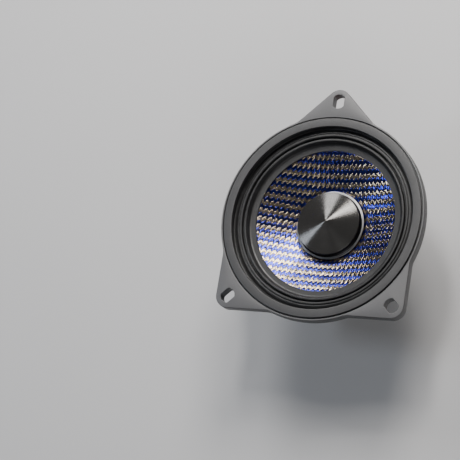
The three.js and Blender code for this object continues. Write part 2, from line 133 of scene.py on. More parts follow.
TERMINAL_ANGLE = 170
TERMINAL_SPREAD = 3.6  # each pole's distance from the middle of the block
PAD_FACE_R = 40.2
PAD_INNER_R = 37.6
PAD_WIDTH = 16.0
POCKET_WIDTH = 14.0
POCKET_TOP = 39.7
POCKET_BOTTOM = 20
POCKET_OUTER_R = 60
BLOCK_BACK = PAD_FACE_R + GAP
BLOCK_FRONT = BLOCK_BACK + 2.0
BLOCK_BOTTOM = 30.8
BLOCK_TOP = 39.3
BLOCK_WIDTH = 13.0
TAB_BACK = BLOCK_FRONT + GAP
TAB_FRONT = TAB_BACK + 0.7
TAB_WIDTH = 4.6
TAB_TOP = 38.0
TAB_BEND_Z = 30.6  # below this height a tab slants in towards its sleeve
RIVET_Z = 35.4
RIVET_HEAD_R = 1.7
RIVET_SHANK_R = 0.8
SLEEVE_TOP = 27.0
SLEEVE_BOTTOM = 18.0
SLEEVE_MIDDLE_R = 40.75
SLEEVE_SIDES = 32
SLEEVE_BOXINESS = 0.7  # 1 gives elliptical sections, and less gives boxier ones
LEAD_DIAMETER = 2.6
TINSEL_DIAMETER = 1.2

PLUG_CENTRE = (-16.4, 47.2)
PLUG_TURN = 190
PLUG_LENGTH = 15.0
PLUG_WIDTH = 9.0
PLUG_HEIGHT = 7.0  # to the top of the latch
LATCH_RISE = 1.0
LATCH_WIDTH = 3.2
CAVITY_OFFSET = 1.95  # each contact's cavity, from the middle of the plug
CAVITY_SIZE = 3.0
CAVITY_FLOOR = 2.0
CAVITY_DEPTH = 7.0
GROOVES = (1.4, 2.6)  # grip grooves in the plug's sides, from its lead end
GROOVE_WIDTH = 0.6
GROOVE_DEPTH = 0.35

# The cone's cloth: zigzag bands of blue and cream floats.
COLUMN = 1.25  # width of a float, along X
TOOTH = 2 * COLUMN  # one tooth of the zigzag
TOOTH_HEIGHT = 1.5
TOOTH_PEAK = 0.68  # share of a tooth that rises
BAND_PAIR = 4.3  # one blue and one cream band, along Y
BAND = BAND_PAIR / 2
LEAN = (0.25, 0.75)  # sideways lean of a blue and of a cream float, in columns
CROWN = (0.16, 0.12)  # height of a blue and of a cream float
PILLOW = 1.9  # 2 would bring a float down to nothing at its edges
TILT_ACROSS = 0.12
TILT_ALONG = 0.18
RELIEF_COLUMNS = 6  # grid steps of the relief across a float
RELIEF_ROWS = 20  # grid steps along a pair of bands

# Routes of the two leads, from the sleeve's lower end to the back of the plug.
LEAD_PLUS_ROUTE = (
    (-40.8, 3.5, 17.7), (-40.3, 3.9, 14.4), (-37.5, 6.4, 9.6), (-33, 10.1, 4.8),
    (-28.8, 13.5, 2), (-25.4, 16.6, 1.4), (-21.8, 21.1, 1.4), (-17.3, 25.6, 1.4),
    (-12, 29.2, 1.4), (-5.5, 31.2, 1.4), (2, 31.5, 1.4), (9.5, 31.2, 1.4), (15.8, 33.6, 1.4),
    (19.4, 39, 1.4), (19, 45, 1.4), (15, 49.3, 1.4), (9, 51, 1.4), (3, 51.2, 1.8),
    (-3.5, 50.9, 2.9), (-8.7, 50.3, 3.5),
)
LEAD_MINUS_ROUTE = (
    (-39.5, 10.6, 17.7), (-39.2, 11, 14.4), (-37.1, 13.2, 9.6), (-34, 16.2, 4.8),
    (-31, 18.9, 2), (-28.2, 21.5, 1.4), (-25, 25.3, 1.4), (-20.8, 29.2, 1.4),
    (-15.5, 32.6, 1.4), (-9, 34.5, 1.4), (-2, 35.1, 1.4), (5, 35, 1.4), (10.6, 35.6, 1.4),
    (14.8, 38.6, 1.4), (15.2, 43, 1.4), (12, 46.4, 1.4), (6.6, 47.6, 1.4), (1.4, 47.7, 1.8),
    (-3.4, 47.4, 2.9), (-8.1, 46.8, 3.5),
)

# ---- camera

CAMERA_AZIMUTH = 57.7
CAMERA_ELEVATION = 61.8
CAMERA_ROLL = -51.4
CAMERA_DISTANCE = 1.0021  # from the centre of the front ring, along the view
CAMERA_RIGHT = -0.04554  # how far the camera stands beside that centre
CAMERA_UP = -0.00687
CAMERA_LENS = 155.7


def make_camera():
    azimuth, elevation, roll = map(math.radians, (CAMERA_AZIMUTH, CAMERA_ELEVATION, CAMERA_ROLL))
    back = Vector((math.sin(azimuth) * math.cos(elevation),
                   -math.cos(azimuth) * math.cos(elevation), math.sin(elevation)))
    level_right = Vector((math.cos(azimuth), math.sin(azimuth), 0))
    level_up = back.cross(level_right)
    right = level_right * math.cos(roll) + level_up * math.sin(roll)
    up = back.cross(right)
    data = bpy.data.cameras.new("camera")
    data.lens = CAMERA_LENS
    data.sensor_width = 36
    data.clip_start = 0.01
    data.clip_end = 20
    camera = bpy.data.objects.new("camera", data)
    bpy.context.scene.collection.objects.link(camera)
    ring_centre = Vector((0, 0, FACE_Z * MM))
    spot = ring_centre + right * CAMERA_RIGHT + up * CAMERA_UP + back * CAMERA_DISTANCE
    turn = Matrix((right, up, back)).transposed()
    camera.matrix_world = Matrix.Translation(spot) @ turn.to_4x4()
    bpy.context.scene.camera = camera


make_camera()

# ---- mesh helpers


def polar(radius, angle):
    return radius * math.cos(math.radians(angle)), radius * math.sin(math.radians(angle))


def mesh_object(name, points, faces, material=None, sharp_angle=32, coordinates=()):
    """Object from points in mm, with its faces turned to point out. They meet smoothly below
    the sharp angle. The UV coordinates, if any, are listed by face and corner."""
    mesh = bpy.data.meshes.new(name)
    mesh.from_pydata([tuple(c * MM for c in p) for p in points], [], faces)
    layer = mesh.uv_layers.new(name="around_along") if coordinates else None
    for polygon, corners in zip(mesh.polygons, coordinates):
        for loop, corner in zip(polygon.loop_indices, corners):
            layer.data[loop].uv = corner
    work = bmesh.new()
    work.from_mesh(mesh)
    bmesh.ops.recalc_face_normals(work, faces=work.faces)
    work.to_mesh(mesh)
    work.free()
    mesh.shade_smooth()
    mesh.set_sharp_from_angle(angle=math.radians(sharp_angle))
    item = bpy.data.objects.new(name, mesh)
    bpy.context.scene.collection.objects.link(item)
    if material:
        mesh.materials.append(material)
    return item


def rounded(outline, radius=0.3, steps=4, closed=True):
    """Outline with each corner turned into a short arc. A corner may carry its own radius
    as a third number, and 0 keeps it sharp."""
    result = []
    count = len(outline)
    for i, corner in enumerate(outline):
        here = Vector(corner[:2])
        size = corner[2] if len(corner) > 2 else radius
        if size == 0 or (not closed and i in (0, count - 1)):
            result.append(tuple(here))
            continue
        before = Vector(outline[i - 1][:2]) - here
        after = Vector(outline[(i + 1) % count][:2]) - here
        bend = before.angle(after)
        if bend > math.radians(178):
            result.append(tuple(here))
            continue
        reach = min(size / math.tan(bend / 2), before.length * 0.45, after.length * 0.45)
        start = here + before.normalized() * reach
        end = here + after.normalized() * reach
        for k in range(steps + 1):
            t = k / steps
            point = start * (1 - t) ** 2 + here * 2 * t * (1 - t) + end * t * t
            result.append(tuple(point))
    return result


def revolve(outline, segments=192, angles=None, radius_at=None):
    """Points and faces of a turned body from (radius, z) points. With radius_at, each
    point's radius is first passed through radius_at(radius, z, angle)."""
    angles = angles or [360 * i / segments for i in range(segments)]
    points, rings = [], []
    for r, z in outline:
        if r == 0:
            rings.append([len(points)])
            points.append((0, 0, z))
            continue
        first = len(points)
        for a in angles:
            far = radius_at(r, z, a) if radius_at else r
            points.append((*polar(far, a), z))
        rings.append(list(range(first, first + len(angles))))
    on_axis = outline[0][0] == 0 and outline[-1][0] == 0
    pairs = list(zip(rings, rings[1:] if on_axis else rings[1:] + rings[:1]))
    faces = []
    for low, high in pairs:
        for i in range(len(angles)):
            j = (i + 1) % len(angles)
            if len(low) == 1:
                faces.append((low[0], high[i], high[j]))
            elif len(high) == 1:
                faces.append((low[i], high[0], low[j]))
            else:
                faces.append((low[i], high[i], high[j], low[j]))
    return points, faces


def turned(name, outline, material, segments, radius=0.25, closed=True):
    """Turned piece with softened corners."""
    path = rounded(outline, radius, closed=closed)
    return mesh_object(name, *revolve(path, segments), material)


def skin_under(line, thickness):
    """Closed outline of a thin sheet whose upper side follows a line of (radius, z) points."""
    return list(line) + [(r, z - thickness) for r, z in reversed(line)]


def slab_faces(count):
    """Faces of a body between two matching loops, each of count points."""
    sides = [(i, (i + 1) % count, count + (i + 1) % count, count + i) for i in range(count)]
    return [tuple(reversed(range(count))), tuple(range(count, 2 * count)), *sides]


def tube_faces(rings, sides):
    """Faces between each ring of points and the next."""
    faces = []
    for i in range(rings - 1):
        for k in range(sides):
            n = (k + 1) % sides
            faces.append((i * sides + k, i * sides + n, (i + 1) * sides + n, (i + 1) * sides + k))
    return faces


def prism(outline, low, high):
    """Points and faces of an upright prism from an (x, y) outline."""
    points = [(*p, low) for p in outline] + [(*p, high) for p in outline]
    return points, slab_faces(len(outline))


def radial_point(radius, z, offset, angle):
    """Point at a radius in a direction, moved sideways by offset."""
    ux, uy = polar(1, angle)
    sx, sy = polar(1, angle - 90)
    return radius * ux + offset * sx, radius * uy + offset * sy, z


def radial_slab(outline, width, angle, offset=0.0):
    """Points and faces of a slab in the radial plane: a (radius, z) outline with a width."""
    points = []
    for side in (offset - width / 2, offset + width / 2):
        points += [radial_point(r, z, side, angle) for r, z in outline]
    return points, slab_faces(len(outline))


def box_outline(inner, outer, low, high):
    return [(inner, low), (outer, low), (outer, high), (inner, high)]


def soften(item, width=0.3, segments=3, angle=30):
    """Rounds a piece's edges with real geometry."""
    bevel = item.modifiers.new("soften", "BEVEL")
    bevel.width = width * MM
    bevel.segments = segments
    bevel.limit_method = "ANGLE"
    bevel.angle_limit = math.radians(angle)
    bake_modifiers(item)
    item.data.shade_smooth()
    item.data.set_sharp_from_angle(angle=math.radians(40))
    return item


def bake_modifiers(item):
    """Turns an item's modifiers into its mesh."""
    bpy.context.view_layer.update()
    graph = bpy.context.evaluated_depsgraph_get()
    final = bpy.data.meshes.new_from_object(item.evaluated_get(graph))
    item.modifiers.clear()
    item.data = final


def boolean(item, tools, operation):
    """Joins or cuts an item with tool objects, which are then removed."""
    for tool in tools:
        step = item.modifiers.new(operation, "BOOLEAN")
        step.operation = operation
        step.solver = "EXACT"
        step.object = tool
        bake_modifiers(item)
        bpy.data.objects.remove(tool)


def between(t, start, end, a, b):
    """Value that goes from a to b while t goes from start to end."""
    return (end - t) / (end - start) * a + (t - start) / (end - start) * b


def distances(path):
    """Distance of each point of a path from its start."""
    return np.concatenate([[0], np.cumsum(np.linalg.norm(np.diff(path, axis=0), axis=1))])


def catmull_rom(route, spacing):
    """Centripetal Catmull-Rom curve through a route, as evenly spaced points."""
    p = [np.array(q, float) for q in route]
    p = [2 * p[0] - p[1]] + p + [2 * p[-1] - p[-2]]
    dense = []
    for p0, p1, p2, p3 in zip(p, p[1:], p[2:], p[3:]):
        t0 = 0.0
        t1 = t0 + np.linalg.norm(p1 - p0) ** 0.5
        t2 = t1 + np.linalg.norm(p2 - p1) ** 0.5
        t3 = t2 + np.linalg.norm(p3 - p2) ** 0.5
        for t in np.linspace(t1, t2, 24, endpoint=False):
            a1 = between(t, t0, t1, p0, p1)
            a2 = between(t, t1, t2, p1, p2)
            a3 = between(t, t2, t3, p2, p3)
            b1 = between(t, t0, t2, a1, a2)
            b2 = between(t, t1, t3, a2, a3)
            dense.append(between(t, t1, t2, b1, b2))
    dense.append(p[-2])
    dense = np.array(dense)
    along = distances(dense)
    count = max(2, round(along[-1] / spacing))
    marks = np.linspace(0, along[-1], count + 1)
    return np.stack([np.interp(marks, along, dense[:, k]) for k in range(3)], 1)


def swept(name, path, radius_at, material, sides=16):
    """Round bar along a path of points, with a UV map: U around, V along, in mm."""
    tangents = np.gradient(path, axis=0)
    tangents /= np.linalg.norm(tangents, axis=1)[:, None]
    side = np.cross(tangents[0], (0.0, 0.0, 1.0))
    if np.linalg.norm(side) < 0.1:
        side = np.cross(tangents[0], (1.0, 0.0, 0.0))
    side /= np.linalg.norm(side)
    travel = distances(path)
    points = []
    for centre, tangent, distance in zip(path, tangents, travel):
        side = side - tangent * (side @ tangent)
        side /= np.linalg.norm(side)
        other = np.cross(tangent, side)
        for k in range(sides):
            turn = 2 * math.pi * k / sides
            outwards = math.cos(turn) * side + math.sin(turn) * other
            points.append(centre + radius_at(distance) * outwards)
    coordinates = []
    for start, end in zip(travel, travel[1:]):
        for k in range(sides):
            u, next_u = k / sides, (k + 1) / sides
            coordinates.append([(u, start), (next_u, start), (next_u, end), (u, end)])
    coordinates += [[(0, 0)] * sides] * 2
    last = (len(path) - 1) * sides
    ends = [tuple(reversed(range(sides))), tuple(range(last, last + sides))]
    faces = tube_faces(len(path), sides) + ends
    return mesh_object(name, points, faces, material, 40, coordinates)


def place(item, body, slot, *nodes):
    """Lets a piece ride on a body and stand for its CAD nodes."""
    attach(item, body)
    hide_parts(*nodes)


def coat(item, material):
    """Gives a CAD node that stays in view its material."""
    item.data.materials.clear()
    item.data.materials.append(material)


def bend_between(item, node):
    """Soft piece, fixed at one radius and meeting the cone at another: bakes its placement into its
    mesh and hides its CAD node.
    """
    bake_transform(item)
    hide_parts(node)


# ---- material helpers


class Nodes:
    """Small builder for a material's node tree."""

    def __init__(self, name, roughness=0.5, metallic=0.0, **fixed):
        self.material = bpy.data.materials.new(name)
        self.material.use_nodes = True
        self.tree = self.material.node_tree
        self.shader = self.tree.nodes["Principled BSDF"]
        self.shader.inputs["Roughness"].default_value = roughness
        self.shader.inputs["Metallic"].default_value = metallic
        for key, value in fixed.items():
            self.shader.inputs[key.replace("_", " ")].default_value = value

    def link(self, source, target):
        """Feeds a socket from another one, or sets it to a constant."""
        if isinstance(source, (int, float, tuple)):
            target.default_value = source
        else:
            self.tree.links.new(source, target)

    def node(self, kind, inputs=(), **settings):
        """New node. Its inputs come in order, or in a dict with their names or numbers."""
        made = self.tree.nodes.new(kind)
        for key, value in settings.items():
            setattr(made, key, value)
        named = inputs if isinstance(inputs, dict) else dict(enumerate(inputs))
        for key, value in named.items():
            self.link(value, made.inputs[key])
        return made

    def math(self, operation, *values):
        return self.node("ShaderNodeMath", values, operation=operation).outputs[0]

    def times(self, a, b):
        return self.math("MULTIPLY", a, b)

    def minus(self, a, b):
        return self.math("SUBTRACT", a, b)

    def vector(self, operation, *values):
        made = self.node("ShaderNodeVectorMath", values, operation=operation)
        return made.outputs["Value" if operation == "LENGTH" else "Vector"]

    def scaled(self, vector, factor):
        inputs = {0: vector, "Scale": factor}
        return self.node("ShaderNodeVectorMath", inputs, operation="SCALE").outputs[0]

    def coordinates(self):
        """Object coordinates in millimetres."""
        return self.scaled(self.node("ShaderNodeTexCoord").outputs["Object"], 1 / MM)

    def split(self, vector):
        return self.node("ShaderNodeSeparateXYZ", (vector,)).outputs

    def combine(self, x, y, z):
        return self.node("ShaderNodeCombineXYZ", (x, y, z)).outputs[0]

    def noise(self, vector, scale, detail=2.0, roughness=0.5):
        inputs = {"Vector": vector, "Scale": scale, "Detail": detail, "Roughness": roughness}
        return self.node("ShaderNodeTexNoise", inputs).outputs["Fac"]

    def ramp(self, value, low, high, out_low=0.0, out_high=1.0):
        """Smooth step of a value from low to high, as a number from out_low to out_high."""
        inputs = {"Value": value, "From Min": low, "From Max": high,
                  "To Min": out_low, "To Max": out_high}
        return self.node("ShaderNodeMapRange", inputs, interpolation_type="SMOOTHSTEP").outputs[0]

    def mix_colour(self, share, a, b):
        a, b = [(*c, 1) if isinstance(c, tuple) else c for c in (a, b)]
        return self.node("ShaderNodeMix", {"Factor": share, 6: a, 7: b}, data_type="RGBA").outputs[2]

    def mix_vector(self, share, a, b):
        made = self.node("ShaderNodeMix", {"Factor": share, 4: a, 5: b}, data_type="VECTOR")
        return made.outputs[1]

    def set(self, key, value):
        self.link(value, self.shader.inputs[key])

    def finish(self, colour, roughness, height, depth, edge=0):
        """Sets the colour, the roughness and a bump from a height in mm, scaled by depth, over
        edges that look rounded by a radius in mm. Returns the material."""
        self.set("Base Color", colour)
        self.set("Roughness", roughness)
        inputs = {"Strength": 1.0, "Distance": depth * MM, "Height": height}
        if edge:
            rounding = self.node("ShaderNodeBevel", {"Radius": edge * MM}, samples=6)
            inputs["Normal"] = rounding.outputs[0]
        self.set("Normal", self.node("ShaderNodeBump", inputs).outputs[0])
        return self.material


def shaded(colour, factor, lift=0.0):
    """Lighter or darker kind of a colour."""
    return tuple(min(1, c * factor + lift) for c in colour)


def moulded(name, colour, roughness, grain=0.02, edge=0.2, wear=0.25, specular=0.5, front=None):
    """Moulded plastic: fine spark grain, faint cloudy gloss, cloudy lighter wear and edges that
    look rounded. Its upward faces may be painted paler, in the colour given as front: a painted
    highlight."""
    n = Nodes(name, roughness, Specular_IOR_Level=specular)
    where = n.coordinates()
    cloud = n.noise(where, 0.12, 4)
    dust = n.noise(where, 1.6, 3)
    base = n.mix_colour(n.ramp(cloud, 0.35, 0.75, 0, wear), colour, shaded(colour, 1.7, 0.012))
    # Upward faces are painted paler than the sides: a painted highlight from the lights above.
    if front:
        upward = n.split(n.node("ShaderNodeNewGeometry").outputs["Normal"])[2]
        base = n.mix_colour(n.ramp(upward, 0.85, 0.98), base, front)
    gloss = n.ramp(dust, 0.3, 0.75, roughness - 0.05, roughness + 0.1)
    return n.finish(base, gloss, n.noise(where, 4.5, 2), grain, edge)


def rubber(name, colour, roughness=0.55, grain=0.015):
    """Matte rubber with a fine skin and dusty patches."""
    n = Nodes(name, roughness, Specular_IOR_Level=0.6)
    where = n.coordinates()
    cloud = n.noise(where, 0.2, 5)
    base = n.mix_colour(n.ramp(cloud, 0.4, 0.7, 0, 0.6), colour, shaded(colour, 1.45, 0.006))
    gloss = n.ramp(n.noise(where, 0.9, 3), 0.3, 0.7, roughness - 0.06, roughness + 0.08)
    return n.finish(base, gloss, n.noise(where, 5.0, 2), grain)


def turned_metal(name, colour, roughness, grooves=0.004, anisotropy=0.0, wear=0.08, metallic=1.0,
                 painted_shade_above=None):
    """Metal finished on a lathe: fine rings about the axis, and a lobe spread across them.
    Above a height in mm it may be painted near black, as painted shade."""
    n = Nodes(name, roughness, metallic, Anisotropic=anisotropy)
    where = n.coordinates()
    x, y, z = n.split(where)
    outward = n.combine(x, y, 0.0)
    rings = n.noise(n.combine(n.vector("LENGTH", outward), z, 0.0), 7.0, 3, 0.7)
    smear = n.noise(where, 0.15, 4)
    base = n.mix_colour(n.ramp(rings, 0.3, 0.7), shaded(colour, 0.72), colour)
    # Painted shade: near black above the given height.
    if painted_shade_above:
        base = n.mix_colour(n.ramp(z, painted_shade_above, painted_shade_above + 0.15), base, (0.02, 0.02, 0.021))
    if anisotropy:
        n.set("Tangent", n.vector("NORMALIZE", outward))
    gloss = n.ramp(smear, 0.3, 0.75, roughness - wear * 0.5, roughness + wear)
    return n.finish(base, gloss, rings, grooves)


def plain_metal(name, colour, roughness, grain=0.003):
    """Plated or pressed metal with light scuffs."""
    n = Nodes(name, roughness, 1.0)
    where = n.coordinates()
    scuff = n.noise(where, 0.8, 5, 0.6)
    base = n.mix_colour(n.ramp(scuff, 0.45, 0.8, 0, 0.6), colour, shaded(colour, 0.75))
    gloss = n.ramp(scuff, 0.3, 0.8, roughness, roughness + 0.15)
    return n.finish(base, gloss, n.noise(where, 3.0, 3), grain)


def woven_cone():
    """Blue floats run along Y and cream ones along X under a clear resin."""
    n = Nodes("woven_fibre", 0.2, 0.95, Anisotropic=0.75, Coat_Weight=0.02, Coat_Roughness=0.15)
    x, y, _ = n.split(n.coordinates())
    turn = n.math("DIVIDE", x, TOOTH)
    tooth = n.minus(turn, n.math("FLOOR", turn))
    fall = n.math("DIVIDE", n.minus(1.0, tooth), 1 - TOOTH_PEAK)
    rise = n.math("MINIMUM", n.math("DIVIDE", tooth, TOOTH_PEAK), fall)
    row = n.math("DIVIDE", n.minus(y, n.times(rise, TOOTH_HEIGHT)), BAND)
    row_index = n.math("FLOOR", row)
    along = n.minus(n.minus(row, row_index), 0.5)
    cream = n.math("FLOORED_MODULO", row_index, 2.0)
    lean = n.math("ADD", n.times(cream, LEAN[1] - LEAN[0]), LEAN[0])
    column = n.minus(n.math("DIVIDE", x, COLUMN), n.times(along, lean))
    index = n.math("FLOOR", column)
    across = n.minus(n.minus(column, index), 0.5)

    float_number = n.combine(index, row_index, 3.0)
    chance = n.node("ShaderNodeTexWhiteNoise", {"Vector": float_number}, noise_dimensions="3D")
    tone = n.ramp(chance.outputs["Value"], 0, 1, 0.7, 1.15)
    side = n.times(n.math("ABSOLUTE", across), 2.0)
    end = n.times(n.math("ABSOLUTE", along), 2.0)
    seam = n.math("MAXIMUM", n.ramp(side, 0.66, 1.0), n.ramp(end, 0.82, 1.0))

    blue_place = n.combine(n.times(x, 7.0), n.times(y, 0.6), 0.0)
    cream_place = n.combine(n.times(x, 0.9), n.times(y, 7.0), 0.0)
    fibre = n.noise(n.mix_vector(cream, blue_place, cream_place), 1.0, 3, 0.6)
    blue = n.mix_colour(fibre, (0.020, 0.020, 0.18), (0.082, 0.105, 0.58))
    pale = n.mix_colour(fibre, (0.12, 0.088, 0.058), (0.85, 0.72, 0.54))
    toned = n.scaled(n.mix_colour(cream, blue, pale), tone)
    # The gaps between floats are painted near black: painted shade.
    base = n.mix_colour(n.times(seam, 0.8), toned, (0.02, 0.017, 0.016))
    n.set("Tangent", n.mix_vector(cream, n.combine(1.0, 0.0, 0.0), n.combine(0.0, 1.0, 0.0)))
    height = n.minus(fibre, n.times(seam, 4.0))
    return n.finish(base, n.ramp(fibre, 0.2, 0.8, 0.14, 0.21), height, 0.007)


def spider_cloth():
    """Resin-treated amber cloth with a visible plain weave."""
    n = Nodes("amber_cloth", 0.7, Sheen_Weight=0.25, Sheen_Roughness=0.5)
    where = n.coordinates()
    x, y, _ = n.split(where)
    per_mm = 2 * math.pi / 0.55
    threads = n.times(*[n.math("SINE", n.times(way, per_mm)) for way in (x, y)])
    stain = n.noise(where, 0.25, 4)
    amber = n.mix_colour(n.ramp(stain, 0.3, 0.7), (0.72, 0.30, 0.03), (0.95, 0.46, 0.06))
    base = n.mix_colour(n.ramp(threads, -1, 1, 0, 0.35), amber, (0.45, 0.16, 0.015))
    return n.finish(base, n.ramp(stain, 0.3, 0.8, 0.6, 0.8), threads, 0.05)


def insulation(name, colour, roughness, braided=False):
    """Lead insulation. The braided kind has two sets of crossing strands."""
    n = Nodes(name, roughness, Specular_IOR_Level=0.45)
    u, v, _ = n.split(n.node("ShaderNodeUVMap", uv_map="around_along").outputs[0])
    scuff = n.noise(n.coordinates(), 1.2, 4)
    base = n.mix_colour(n.ramp(scuff, 0.4, 0.75, 0, 0.5), colour, shaded(colour, 1.5, 0.01))
    gloss = n.ramp(scuff, 0.3, 0.8, roughness - 0.05, roughness + 0.12)
    height, depth = scuff, 0.02
    if braided:
        around = n.times(u, 8.0)
        along = n.times(v, 0.75)
        turns = [n.math(way, around, along) for way in ("ADD", "SUBTRACT")]
        waves = [n.math("SINE", n.times(turn, 2 * math.pi)) for turn in turns]
        height, depth = n.math("MAXIMUM", *waves), 0.09
        # The hollows between the braid's strands are painted darker: painted shade.
        base = n.mix_colour(n.ramp(height, -0.2, 1.0), shaded(colour, 0.35), base)
    return n.finish(base, gloss, height, depth)


def wound_wire():
    """Enamelled copper wound in fine turns."""
    n = Nodes("copper", 0.32, 1.0)
    where = n.coordinates()
    _, _, z = n.split(where)
    turn = n.math("SINE", n.times(z, 2 * math.pi / 0.22))
    # Each turn is painted brighter on its crest and darker towards its neighbours: painted highlight
    # and painted shade.
    base = n.mix_colour(n.ramp(turn, -1, 1), (0.36, 0.13, 0.05), (0.80, 0.40, 0.22))
    return n.finish(base, n.ramp(n.noise(where, 2.0, 3), 0.3, 0.7, 0.25, 0.42), turn, 0.05)


def sintered():
    """Fired ferrite with a coarse dark grain."""
    n = Nodes("ferrite", 0.7)
    grain = n.noise(n.coordinates(), 3.0, 5, 0.7)
    base = n.mix_colour(grain, (0.022, 0.022, 0.024), (0.075, 0.075, 0.08))
    return n.finish(base, n.ramp(grain, 0.2, 0.8, 0.55, 0.8), grain, 0.03)


# Its upward faces are painted paler in the front colour: a painted highlight.
black_plastic = moulded("black_plastic", (0.036, 0.036, 0.038), 0.47, grain=0.02, edge=0.3,
                        specular=0.9, front=(0.080, 0.080, 0.084))
trim_plastic = moulded("grey_trim", (0.030, 0.030, 0.032), 0.5, grain=0.03, edge=0, specular=0.72)
plug_plastic = moulded("plug_plastic", (0.03, 0.03, 0.033), 0.4, grain=0.01, edge=0.15)
board = moulded("terminal_board", (0.028, 0.026, 0.025), 0.35, grain=0.012, edge=0.15)
# The collar is painted near black above its foot, where the cap overhangs it: painted shade.
collar_black = turned_metal("collar_black", (0.36, 0.36, 0.365), 0.34, grooves=0.001,
                            painted_shade_above=COLLAR_FOOT_TOP + 0.02)
surround_rubber = rubber("surround_rubber", (0.014, 0.014, 0.015), 0.42)
red_sleeve = rubber("red_sleeve", (0.62, 0.012, 0.014), 0.3, grain=0.01)
black_sleeve = rubber("black_sleeve", (0.02, 0.02, 0.022), 0.34, grain=0.01)
polished_steel = turned_metal("polished_steel", (0.66, 0.65, 0.64), 0.17, grooves=0.002,
                              anisotropy=0.35)
plated_steel = turned_metal("plated_steel", (0.68, 0.62, 0.52), 0.3)
cap_metal = turned_metal("turned_aluminium", (0.092, 0.090, 0.087), 0.24, grooves=0.0008,
                         anisotropy=0.95, wear=0.03, metallic=0.72)
screw_steel = plain_metal("screw_steel", (0.16, 0.16, 0.17), 0.35)
brass = plain_metal("brass", (0.80, 0.62, 0.30), 0.25)
copper = wound_wire()
film = moulded("former_film", (0.40, 0.20, 0.05), 0.35, grain=0.003, edge=0)
ferrite = sintered()
weave = woven_cone()
amber = spider_cloth()
red_lead = insulation("red_lead", (0.50, 0.010, 0.012), 0.36)
grey_lead = insulation("grey_lead", (0.07, 0.07, 0.075), 0.5, braided=True)

# ---- leads and plug


def make_lead(sign, route, material):
    path = catmull_rom(route, 0.9)
    lead = swept(f"lead_{sign}_cord", path, lambda distance: LEAD_DIAMETER / 2, material)
    place(lead, STATIC, "red_lead" if sign == "plus" else "grey_lead", f"lead_{sign}")


def plug_block(name, low, high, material=None):
    """Box in the plug's own frame, where +X is its open end."""
    ux, uy = polar(1, PLUG_TURN)
    corners = []
    for x, y in ((low[0], low[1]), (high[0], low[1]), (high[0], high[1]), (low[0], high[1])):
        corners.append((PLUG_CENTRE[0] + x * ux - y * uy, PLUG_CENTRE[1] + x * uy + y * ux))
    return mesh_object(name, *prism(corners, low[2], high[2]), material)


def make_plug():
    """Housing with a latch, a cavity for each contact and grip grooves in its sides."""
    front, side, top = PLUG_LENGTH / 2, PLUG_WIDTH / 2, PLUG_HEIGHT - LATCH_RISE
    housing = plug_block("plug_body", (-front, -side, 0), (front, side, top), plug_plastic)
    latch = plug_block("latch", (-front + 3, -LATCH_WIDTH / 2, top - 0.5),
                       (front - 2, LATCH_WIDTH / 2, PLUG_HEIGHT))
    boolean(housing, [latch], "UNION")
    cutters = []
    for y in (-CAVITY_OFFSET, CAVITY_OFFSET):
        cutters.append(plug_block(
            "cavity", (front - CAVITY_DEPTH, y - CAVITY_SIZE / 2, CAVITY_FLOOR),
            (front + 1, y + CAVITY_SIZE / 2, CAVITY_FLOOR + CAVITY_SIZE)))
    outside = 0.6
    for place_x in GROOVES:
        x = -front + place_x
        for y in (-side - outside, side - GROOVE_DEPTH):
            cutters.append(plug_block("groove", (x, y, -1),
                                      (x + GROOVE_WIDTH, y + GROOVE_DEPTH + outside, PLUG_HEIGHT)))
    boolean(housing, cutters, "DIFFERENCE")
    soften(housing, 0.3)
    place(housing, STATIC, "plug_plastic", "plug_housing")
    contacts = [NODES["plug_contact_plus"], NODES["plug_contact_minus"]]
    for contact in contacts:
        coat(contact, brass)
    return [housing, *contacts]


plug_pieces = make_plug()
make_lead("plus", LEAD_PLUS_ROUTE, red_lead)
make_lead("minus", LEAD_MINUS_ROUTE, grey_lead)

# ---- basket


def ear_reach(angle):
    """Outer radius of the flange with its ears: straight ear sides, round tips and soft
    inner corners."""
    reach = FLANGE_R
    side_distance = SLOT_CENTRE_R * math.sqrt(0.5) + EAR_TIP_R
    tip = EAR_TIP_R * math.sqrt(0.5)
    tangent_point = math.degrees(math.atan2(tip, SLOT_CENTRE_R + tip))
    for ear in EAR_ANGLES:
        off = abs((angle - ear + 180) % 360 - 180)
        if off >= 45:
            continue
        straight = side_distance / math.cos(math.radians(45 - off))
        if off < tangent_point:
            along = SLOT_CENTRE_R * math.cos(math.radians(off))
            across = SLOT_CENTRE_R * math.sin(math.radians(off))
            straight = along + math.sqrt(EAR_TIP_R ** 2 - across ** 2)
        near = max(EAR_BLEND - abs(straight - reach), 0) / EAR_BLEND
        reach = max(straight, reach) + near * near * EAR_BLEND / 4
    return reach


def basket_angles():
    """Directions of the basket's sections: 1.5 degrees apart, and 0.5 degrees at the ears."""
    angles = {round(i * 1.5, 2) for i in range(240)}
    for ear in EAR_ANGLES:
        angles.update(round((ear + i * 0.5) % 360, 2) for i in range(-52, 53))
    return sorted(angles)


def basket_radius(radius, z, angle):
    """Stretches the flange's rim out to the ears and leaves all else round."""
    if z < FLANGE_BOTTOM - 0.01 or radius < FLANGE_R - 0.6:
        return radius
    return radius + ear_reach(angle) - FLANGE_R


